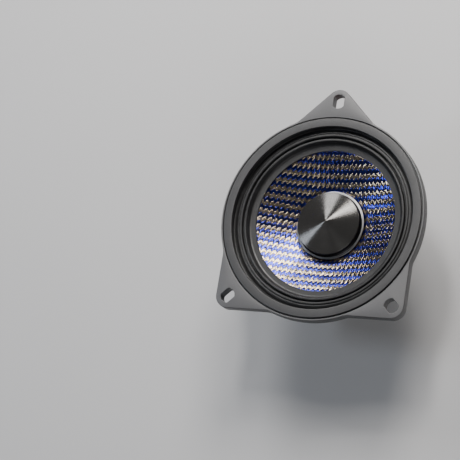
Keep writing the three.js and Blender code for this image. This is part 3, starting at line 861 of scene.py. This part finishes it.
def window_cutter(name, start, end, low, high, reach, corner):
    """Cutter for an opening in the wall, with round corners, that spreads outwards."""
    centre_angle, centre_z = (start + end) / 2, (low + high) / 2
    per_degree = math.radians(1) * WALL_R
    half_w, half_h = (end - start) / 2 * per_degree, (high - low) / 2
    outline = []
    for quarter, (sx, sy) in enumerate(((1, 1), (-1, 1), (-1, -1), (1, -1))):
        for k in range(CORNER_STEPS + 1):
            turn = math.radians(90 * quarter + 90 * k / CORNER_STEPS)
            outline.append((sx * (half_w - corner) + corner * math.cos(turn),
                            sy * (half_h - corner) + corner * math.sin(turn)))
    dense = []
    for (ax, ay), (bx, by) in zip(outline, outline[1:] + outline[:1]):
        steps = max(1, int(math.hypot(bx - ax, by - ay) / 2))
        dense += [(ax + (bx - ax) * k / steps, ay + (by - ay) * k / steps) for k in range(steps)]
    points = []
    for radius in reach:
        for w, h in dense:
            points.append((*polar(radius, centre_angle + w / per_degree), centre_z + h))
    return mesh_object(name, points, slab_faces(len(dense)))


def slot_cutter(angle):
    """Round hole with two flats along the radius and softened corners."""
    half = math.degrees(math.asin(SLOT_WIDTH / SLOT_LENGTH))
    steps = 12
    outline = []
    for middle in (0, 180):
        for k in range(steps + 1):
            outline.append(polar(SLOT_LENGTH / 2, middle + half * (2 * k / steps - 1)))
    outline = rounded([(SLOT_CENTRE_R + x, y) for x, y in outline], 0.5, 3)
    ux, uy = polar(1, angle)
    turned_outline = [(x * ux - y * uy, x * uy + y * ux) for x, y in outline]
    return prism(turned_outline, FLANGE_BOTTOM - 2, FLANGE_TOP + 2)


# Sections of (radius, z) points, which may carry the radius of their corner.
BASKET_SECTION = [
    (FLANGE_R, FLANGE_TOP, 0.5), (RECESS_R, FLANGE_TOP, 0.15), (RECESS_R, RECESS_FLOOR, 0.2),
    (49.2, RECESS_FLOOR, 0.3), (49.2, 46.5, 2), (47.6, 44, 2), (43.6, 40.4, 2), (39.3, 36.9, 2),
    (37.8, LEDGE_Z, 0.4), (33, LEDGE_Z, 0.4), (33, 28.9, 0.4), (35.8, 28.9, 0.6),
    (33.6, FOOT_TOP, 0.6), (FOOT_INNER_R, FOOT_TOP, 0.3), (FOOT_INNER_R, FOOT_BOTTOM, 0.2),
    (31.8, FOOT_BOTTOM, 0.2), (31.8, SKIRT_BOTTOM, 0.2), (34.2, SKIRT_BOTTOM, 0.5),
    (36.2, 24.6, 2), (40.2, 31, 4), (41.9, 36, 3), (45.5, 39.1, 4), (49.9, 43.2, 3),
    (51.4, FLANGE_BOTTOM, 0.8), (FLANGE_R, FLANGE_BOTTOM, 0.5),
]

RIB_SECTION = [
    (51.6, 48.2), (51.0, 43), (46.6, 38.5), (43.1, 35.5), (41.4, 30.5), (37.4, 24.2),
    (35.6, 21.5), (35.2, 18.6), (33.5, 18.6), (33.5, 22.4), (34.6, 24.6), (38.6, 31),
    (40.6, 36.2), (44.2, 39.8), (48.6, 43.8), (50.0, 48.2),
]

PAD_SECTION = [
    (PAD_INNER_R, 30.4), (PAD_FACE_R, 28.4), (PAD_FACE_R, POCKET_TOP), (45.6, POCKET_TOP),
    (45.6, 41.2), (PAD_INNER_R, 40.2),
]


def make_basket():
    shell = revolve(rounded(BASKET_SECTION, 0.3, 3), angles=basket_angles(), radius_at=basket_radius)
    body = mesh_object("basket_shell", *shell, black_plastic)
    cutters = [mesh_object("slot", *slot_cutter(ear)) for ear in EAR_ANGLES]
    for start, end in WINDOWS:
        cutters.append(window_cutter("window", start, end, WINDOW_LOW, WINDOW_HIGH,
                                     WINDOW_REACH, WINDOW_CORNER_R))
    for start, end in FOOT_NOTCHES:
        cutters.append(window_cutter("notch", start, end, SKIRT_BOTTOM - 3, FOOT_BOTTOM,
                                     NOTCH_REACH, NOTCH_CORNER_R))
    pocket = box_outline(PAD_FACE_R - 0.05, POCKET_OUTER_R, POCKET_BOTTOM, POCKET_TOP + 0.05)
    cutters.append(mesh_object("pocket", *radial_slab(pocket, POCKET_WIDTH, TERMINAL_ANGLE)))
    boolean(body, cutters, "DIFFERENCE")

    additions = []
    rib_outline = rounded(RIB_SECTION, 1.5, 3)
    for ear in EAR_ANGLES:
        for side in (-RIB_OFFSET, RIB_OFFSET):
            slab = radial_slab(rib_outline, RIB_WIDTH, ear + side)
            additions.append(soften(mesh_object("rib", *slab, black_plastic), 0.4, 2, 60))
    pad = radial_slab(PAD_SECTION, PAD_WIDTH, TERMINAL_ANGLE)
    additions.append(mesh_object("pad", *pad, black_plastic))
    boolean(body, additions, "UNION")
    body.data.shade_smooth()
    body.data.set_sharp_from_angle(angle=math.radians(32))
    place(body, STATIC, "black_plastic", "basket")


make_basket()

trim_ring = turned("trim_ring", [
    (TRIM_INNER_R, TRIM_BOTTOM), (TRIM_OUTER_R, TRIM_BOTTOM),
    (TRIM_OUTER_R, FACE_Z - TRIM_STEP, 0.1), (TRIM_OUTER_R - TRIM_REBATE, FACE_Z - TRIM_STEP, 0.1),
    (TRIM_OUTER_R - TRIM_REBATE, FACE_Z, 0.2), (TRIM_INNER_R, FACE_Z, 0.25),
], trim_plastic, 288)
place(trim_ring, STATIC, "grey_trim", "front_trim_ring")

# ---- motor


def can_corner(radius):
    """Quarter turn from the can's flat bottom up to its wall, in steps of 5 degrees."""
    corner = []
    for angle in range(-90, 5, 5):
        dr, dz = polar(radius, angle)
        corner.append((CAN_R - CAN_CORNER_R + dr, CAN_CORNER_R + dz, 0))
    return corner


can = turned("can", [
    (0, 0, 0), *can_corner(CAN_CORNER_R), (CAN_R, CAN_TOP, 0.4), (CAN_R - CAN_WALL, CAN_TOP, 0.3),
    *reversed(can_corner(CAN_CORNER_R - CAN_WALL)), (0, CAN_WALL, 0),
], polished_steel, 256, closed=False)
place(can, STATIC, "polished_steel", "magnet_can")

plate_outline = box_outline(PLATE_BORE_R, PLATE_R, PLATE_BOTTOM, PLATE_TOP)
pole_plate = turned("pole_plate", plate_outline, plated_steel, 192, 0.3)
place(pole_plate, STATIC, "plated_steel", "top_plate")

# ---- moving system


def cone_height(radius):
    """Height of the cone's front face, in mm, before the weave."""
    slope = (CONE_MOUTH_Z - CONE_NECK_Z) / (CONE_MOUTH_R - CONE_NECK_R)
    return np.minimum(CONE_NECK_Z + (radius - CONE_NECK_R) * slope, CONE_MOUTH_Z)


def scatter(column, row, along_column, along_row, scale):
    """Numbers from -0.5 to 0.5 that look random, one for each float of the cloth."""
    seed = np.sin(column * along_column + row * along_row) * scale
    return (seed - np.floor(seed)) - 0.5


def weave_height(x, y):
    """Relief of the cloth, in mm: each float is a low pillow with its own slight tilt."""
    tooth = x / TOOTH - np.floor(x / TOOTH)
    rise = np.minimum(tooth / TOOTH_PEAK, (1 - tooth) / (1 - TOOTH_PEAK))
    row = (y - rise * TOOTH_HEIGHT) / BAND
    row_index = np.floor(row)
    along = row - row_index - 0.5
    cream = row_index % 2
    column = x / COLUMN - along * (LEAN[0] + (LEAN[1] - LEAN[0]) * cream)
    index = np.floor(column)
    across = column - index - 0.5
    tilt_across = scatter(index, row_index, 12.9898, 78.233, 43758.5453)
    tilt_along = scatter(index, row_index, 39.346, 11.135, 24634.6345)
    across_yarn = np.where(cream == 1, along, across)
    down_yarn = np.where(cream == 1, across, along)
    round_back = np.sqrt(np.clip(1 - (PILLOW * across_yarn) ** 2, 0, 1))
    pillow = round_back * (1 - (PILLOW * down_yarn) ** 6)
    crown = np.where(cream == 1, CROWN[1], CROWN[0])
    tilt = TILT_ACROSS * tilt_across * across + TILT_ALONG * tilt_along * along
    return crown * pillow + tilt - crown


def make_cone():
    """Grid of the woven face inside the lip, with a thickness behind it."""
    step_x = COLUMN / RELIEF_COLUMNS
    step_y = BAND_PAIR / RELIEF_ROWS
    outer = CONE_LIP_R - 0.25
    inner = CONE_NECK_R + 0.15
    count_x = int(outer / step_x) + 1
    count_y = int(outer / step_y) + 1
    xs = np.arange(-count_x, count_x + 1) * step_x
    ys = np.arange(-count_y, count_y + 1) * step_y
    gx, gy = np.meshgrid(xs, ys)
    radius = np.hypot(gx, gy)
    gz = cone_height(radius) + weave_height(gx, gy)
    inside = (radius < outer) & (radius > inner)
    number = np.full(gx.shape, -1)
    quads = inside[:-1, :-1] & inside[1:, :-1] & inside[:-1, 1:] & inside[1:, 1:]
    used = np.zeros(gx.shape, bool)
    for corner in (used[:-1, :-1], used[1:, :-1], used[:-1, 1:], used[1:, 1:]):
        corner |= quads
    number[used] = np.arange(used.sum())
    points = np.stack([gx[used], gy[used], gz[used]], 1)
    rows, columns = np.nonzero(quads)
    faces = np.stack([number[rows, columns], number[rows, columns + 1],
                      number[rows + 1, columns + 1], number[rows + 1, columns]], 1)
    cone = mesh_object("woven_cone", points.tolist(), faces.tolist(), weave, 60)
    shell = cone.modifiers.new("shell", "SOLIDIFY")
    shell.thickness = CONE_THICK * MM
    shell.offset = -1
    bake_modifiers(cone)
    place(cone, MOVING, "woven_fibre", "cone")


make_cone()

cap = turned("cap", [
    (0, CAP_APEX_Z, 0), (0.8, CAP_APEX_Z - 0.14, 0.6), (CAP_R, CAP_EDGE_Z, 0.3),
    (CAP_R, CAP_EDGE_Z - 1, 0.3), (CAP_INNER_R, CAP_EDGE_Z - 1, 0.2), (0, CAP_APEX_Z - 1.3, 0),
], cap_metal, 256, closed=False)
place(cap, MOVING, "turned_aluminium", "dust_cap")

collar = turned("collar", [
    (COLLAR_BORE_R, COLLAR_BOTTOM), (COLLAR_FOOT_R, COLLAR_BOTTOM, 0.3),
    (COLLAR_FOOT_R, COLLAR_FOOT_TOP, 0.45), (17.3, COLLAR_FOOT_TOP, 0.3), (16.4, 39.5, 1.2),
    (16, COLLAR_TOP, 0.15), (COLLAR_BORE_R, COLLAR_TOP),
], collar_black, 192, 0.2)
place(collar, MOVING, "collar_black", "cap_collar")

# Front of the surround from its lip on the cone to its rim under the trim ring.
SURROUND_LINE = [
    (37.3, 47.5, 0), (39.9, 47.65, 0.5), (40.6, 48.0, 0.5), (41.5, 50.1, 0.3), (41.8, 50.45, 0.2),
    (42.6, 50.45, 0.2), (42.85, 50.1, 0.2), (43.05, 48.9, 0.2), (43.55, 48.9, 0.2),
    (43.75, 50.5, 0.2), (44.05, 50.9, 0.3), (44.95, 50.9, 0.2), (45.15, 50.35, 0.12),
    (45.4, 50.35, 0.12), (45.55, 50.7, 0.2), (46.1, 50.65, 0.4), (46.9, 50.2, 0.3),
    (47.3, 49.75, 0.2), (48.5, 49.7, 0.3), (48.8, 51.2, 0.3), (49.3, 51.75, 0.3), (53.1, 51.8, 0),
]
surround_skin = skin_under(rounded(SURROUND_LINE, steps=3, closed=False), SKIN)
surround = mesh_object("ribbed_surround", *revolve(surround_skin, 288), surround_rubber, 60)
bend_between(surround, "surround")


def spider_line():
    """Even waves from the neck outwards, and a flat rim that sits on the basket's ledge."""
    line = []
    steps = SPIDER_ROLLS * 16
    for i in range(steps + 1):
        share = i / steps
        radius = SPIDER_NECK_R + (SPIDER_FLAT_R - SPIDER_NECK_R) * share
        wave = SPIDER_WAVE * math.sin(2 * math.pi * SPIDER_ROLLS * share)
        line.append((radius, SPIDER_Z + wave))
    return line + [(SPIDER_FLAT_R + 0.4, SPIDER_RIM_Z - 0.05), (SPIDER_FLAT_R + 1, SPIDER_RIM_Z),
                   (SPIDER_R, SPIDER_RIM_Z)]


spider_skin = skin_under(spider_line(), SKIN)
spider = mesh_object("amber_spider", *revolve(spider_skin, 192), amber, 60)
bend_between(spider, "spider")

# ---- terminals


# Sections of a sleeve: height, half of its width and half of its depth.
SLEEVE_SECTIONS = (
    (SLEEVE_TOP, 2.2, 1.15), (SLEEVE_TOP - 0.5, 2.2, 1.3), (SLEEVE_TOP - 3.5, 2.15, 1.35),
    (SLEEVE_TOP - 5.5, 1.95, 1.5), (SLEEVE_BOTTOM + 1.5, 1.6, 1.5), (SLEEVE_BOTTOM, 1.5, 1.45),
)

# Profile of a rivet as (radius, height above the tab) points, from its tail to its dished head.
RIVET_PROFILE = (
    (0, -2.6, 0), (RIVET_SHANK_R, -2.6), (RIVET_SHANK_R, 0), (RIVET_HEAD_R, 0),
    (RIVET_HEAD_R, 0.55, 0.4), (1.0, 0.8, 0.3), (0.7, 0.35, 0.15), (0, 0.3, 0),
)

# Route of a tinsel lead: radius, height and share of its pole's distance from the middle.
TINSEL_ROUTE = (
    (PAD_INNER_R - 1.3, RIVET_Z, 1), (34, 36.2, 1), (30, 37.3, 1), (26, 37.4, 0.9),
    (21.4, 36, 0.8), (CONE_NECK_R + 4.5, 35.1, 0.8),
)


def terminal_point(radius, z, offset):
    return radial_point(radius, z, offset, TERMINAL_ANGLE)


def make_sleeve(sign, offset, material):
    """Shrink sleeve: flat where it grips the tab, round where the lead comes out."""
    points = []
    for z, half_width, half_depth in SLEEVE_SECTIONS:
        for k in range(SLEEVE_SIDES):
            c, s = polar(1, 360 * k / SLEEVE_SIDES)
            across = math.copysign(abs(c) ** SLEEVE_BOXINESS, c) * half_width
            deep = math.copysign(abs(s) ** SLEEVE_BOXINESS, s) * half_depth
            points.append(terminal_point(SLEEVE_MIDDLE_R + deep, z, offset + across))
    last = (len(SLEEVE_SECTIONS) - 1) * SLEEVE_SIDES
    ends = [tuple(range(SLEEVE_SIDES)), tuple(range(last, last + SLEEVE_SIDES))]
    faces = tube_faces(len(SLEEVE_SECTIONS), SLEEVE_SIDES) + ends
    sleeve = mesh_object(f"shrink_sleeve_{sign}", points, faces, material, 50)
    place(sleeve, STATIC, "red_sleeve" if sign == "plus" else "black_sleeve", f"sleeve_{sign}")


def make_rivet(sign, offset):
    """Tubular rivet with a rolled head, turned to point out of the block."""
    points, faces = revolve(rounded(RIVET_PROFILE, 0.1, 4, closed=False), 48)
    points = [terminal_point(TAB_FRONT + GAP + z, RIVET_Z + y, offset + x) for x, y, z in points]
    rivet = mesh_object(f"rivet_{sign}", points, faces, plated_steel)
    place(rivet, STATIC, "plated_steel", f"terminal_rivet_{sign}")


def make_tab(sign, offset):
    """Tab that lies on the block and bends in towards the top of its sleeve."""
    half = (TAB_FRONT - TAB_BACK) / 2
    foot_z = SLEEVE_TOP + GAP
    outline = [
        (SLEEVE_MIDDLE_R - half, foot_z), (SLEEVE_MIDDLE_R + half, foot_z), (TAB_FRONT, TAB_BEND_Z),
        (TAB_FRONT, TAB_TOP), (TAB_BACK, TAB_TOP), (TAB_BACK, TAB_BEND_Z),
    ]
    slab = radial_slab(outline, TAB_WIDTH, TERMINAL_ANGLE, offset)
    tab = mesh_object(f"tab_{sign}", *slab, screw_steel)
    soften(tab, 0.2)
    place(tab, STATIC, "screw_steel", f"terminal_tab_{sign}")


def braid_radius(distance):
    """Radius of a tinsel lead, which its twist makes a little uneven."""
    return TINSEL_DIAMETER / 2 * (1 + 0.06 * math.sin(distance * 9))


def make_tinsel(sign, offset):
    """Flexible braid from the rivet to the cone's neck."""
    route = [terminal_point(radius, z, offset * share) for radius, z, share in TINSEL_ROUTE]
    braid = swept(f"tinsel_{sign}", catmull_rom(route, 0.4), braid_radius, copper, 12)
    bend_between(braid, f"tinsel_lead_{sign}")


block_outline = box_outline(BLOCK_BACK, BLOCK_FRONT, BLOCK_BOTTOM, BLOCK_TOP)
block_slab = radial_slab(block_outline, BLOCK_WIDTH, TERMINAL_ANGLE)
block = mesh_object("terminal_plate", *block_slab, board)
place(soften(block, 0.5, 4), STATIC, "terminal_board", "terminal_block")
POLES = (("plus", -TERMINAL_SPREAD, red_sleeve), ("minus", TERMINAL_SPREAD, black_sleeve))
for sign, offset, material in POLES:
    make_tab(sign, offset)
    make_rivet(sign, offset)
    make_sleeve(sign, offset, material)
    make_tinsel(sign, offset)

# ---- CAD pieces that stay

KEPT_NODES = {
    "t_yoke": plated_steel, "ring_magnet": ferrite, "voice_coil_former": film,
    "voice_coil_winding": copper, "screw_1": screw_steel, "screw_2": screw_steel,
    "screw_3": screw_steel, "screw_4": screw_steel,
}
for node, material in KEPT_NODES.items():
    coat(NODES[node], material)

# ---- floor and light


FLOOR_HALF = 3000  # half of the floor's width, in mm
FLOOR_DROP = 0.0001  # metres below the can, so that the two do not flicker
LIGHT_AIM = Vector((0, 0, 0.045))

# Lights, in metres: name, direction from the speaker, distance, width, height, power and,
# where it is not white, colour.
LIGHTS = (
    ("top_left", (-0.346, 0.686, 0.64), 0.9, 0.22, 0.36, 3.8),
    ("top_core", (-0.007, 0.543, 0.84), 0.9, 0.12, 0.22, 3.4, (1.0, 0.97, 0.93)),
    ("top_right", (0.20, 0.71, 0.66), 0.9, 0.28, 0.30, 6.2, (1.0, 0.96, 0.91)),
    ("left_panel", (-0.72, -0.05, 0.69), 1.0, 0.12, 0.20, 1.8, (0.80, 0.88, 1.0)),
    ("front_fill", (0.45, -0.68, 0.58), 1.3, 0.7, 0.6, 3.8),
)


def make_floor():
    n = Nodes("floor", 0.55)
    clouds = n.noise(n.coordinates(), 0.004, 3)
    n.set("Base Color", n.mix_colour(clouds, (0.54, 0.54, 0.55), (0.60, 0.60, 0.61)))
    corners = [(x * FLOOR_HALF, y * FLOOR_HALF, 0) for x, y in ((-1, -1), (1, -1), (1, 1), (-1, 1))]
    floor = mesh_object("floor", corners, [(0, 1, 2, 3)], n.material)
    floor.location.z = -FLOOR_DROP


def add_light(name, direction, distance, width, height, power, colour=(1, 1, 1)):
    """Soft area light that shines on the speaker from a direction in the part's frame. Its
    width runs along X as far as it can."""
    data = bpy.data.lights.new(name, "AREA")
    data.shape = "RECTANGLE"
    data.size = width
    data.size_y = height
    data.energy = power
    data.color = colour
    light = bpy.data.objects.new(name, data)
    bpy.context.scene.collection.objects.link(light)
    away = Vector(direction).normalized()
    across = (Vector((1, 0, 0)) - away * away.x).normalized()
    turn = Matrix((across, away.cross(across), away)).transposed().to_4x4()
    light.matrix_world = Matrix.Translation(LIGHT_AIM + away * distance) @ turn


make_floor()
for light in LIGHTS:
    add_light(*light)

world = bpy.data.worlds.new("studio")
world.use_nodes = True
background = world.node_tree.nodes["Background"]
background.inputs["Color"].default_value = (0.9, 0.93, 1.0, 1)
background.inputs["Strength"].default_value = 0.05
bpy.context.scene.world = world
